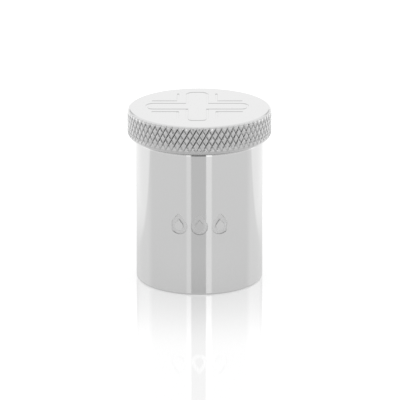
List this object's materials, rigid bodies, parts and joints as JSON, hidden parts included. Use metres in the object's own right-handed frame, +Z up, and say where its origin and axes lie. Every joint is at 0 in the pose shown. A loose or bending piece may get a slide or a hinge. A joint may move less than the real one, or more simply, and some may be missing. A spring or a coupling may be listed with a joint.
{
  "type": "screw-cap oil stock",
  "caption": "Small cylindrical polished-metal oil stock with a diamond-knurled screw cap, an outlined cross engraved on the cap and a gilt inner cup.",
  "frame": {"origin": "bottom centre, on the plane that the vessel stands on", "axes": "+Z up along the vessel's axis, -Y towards the front with the engraved mark, +X to the right seen from the front"},
  "size_m": [0.032, 0.032, 0.0392],
  "materials": {
    "chrome_plate": "mirror polished chrome plate over brass",
    "gilt": "bright gilt over brass",
    "liner_rubber": "matte moulded rubber"
  },
  "bodies": {
    "vessel": {"body_shell": "chrome_plate", "base_disc": "chrome_plate", "neck_collar": "chrome_plate", "inner_cup": "gilt"},
    "liner": {"cap_liner": "liner_rubber"},
    "cap": {"cap_shell": "chrome_plate"}
  },
  "joints": [
    {"name": "cap_lift", "type": "slide", "parent": "vessel", "child": "liner", "axis": [0, 0, 1], "range_m": [0, 0.012]},
    {"name": "cap_turn", "type": "hinge", "parent": "liner", "child": "cap", "pos_m": [0, 0, 0.03295], "axis": [0, 0, 1], "range_deg": [0, 2880]}
  ],
  "couplings": [
    {"joint": "cap_lift", "follows": "cap_turn", "m_per_rad": 0.00023873}
  ]
}
